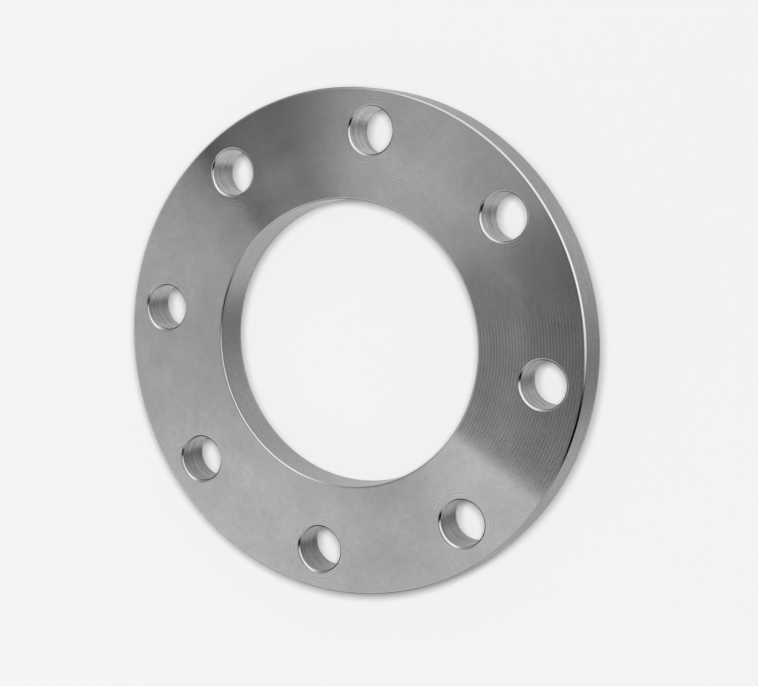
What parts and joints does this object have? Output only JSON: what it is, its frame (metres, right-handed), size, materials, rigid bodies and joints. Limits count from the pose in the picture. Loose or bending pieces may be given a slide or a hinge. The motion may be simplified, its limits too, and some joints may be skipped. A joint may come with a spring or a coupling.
{
  "type": "plate flange",
  "caption": "Flat round pipe flange: a turned steel plate ring with a wide plain bore, a circle of bolt holes and small chamfers on its edges.",
  "frame": {"origin": "centre of the back face, on the flange's axis", "axes": "+Z along the axis, from the back face to the front face; X and Y are the centrelines that the bolt holes straddle"},
  "size_m": [0.25, 0.25, 0.02],
  "materials": {
    "machined_steel": "satin, turned on the faces and drilled in the holes"
  },
  "bodies": {
    "root": {"flange_ring": "machined_steel"}
  },
  "joints": []
}
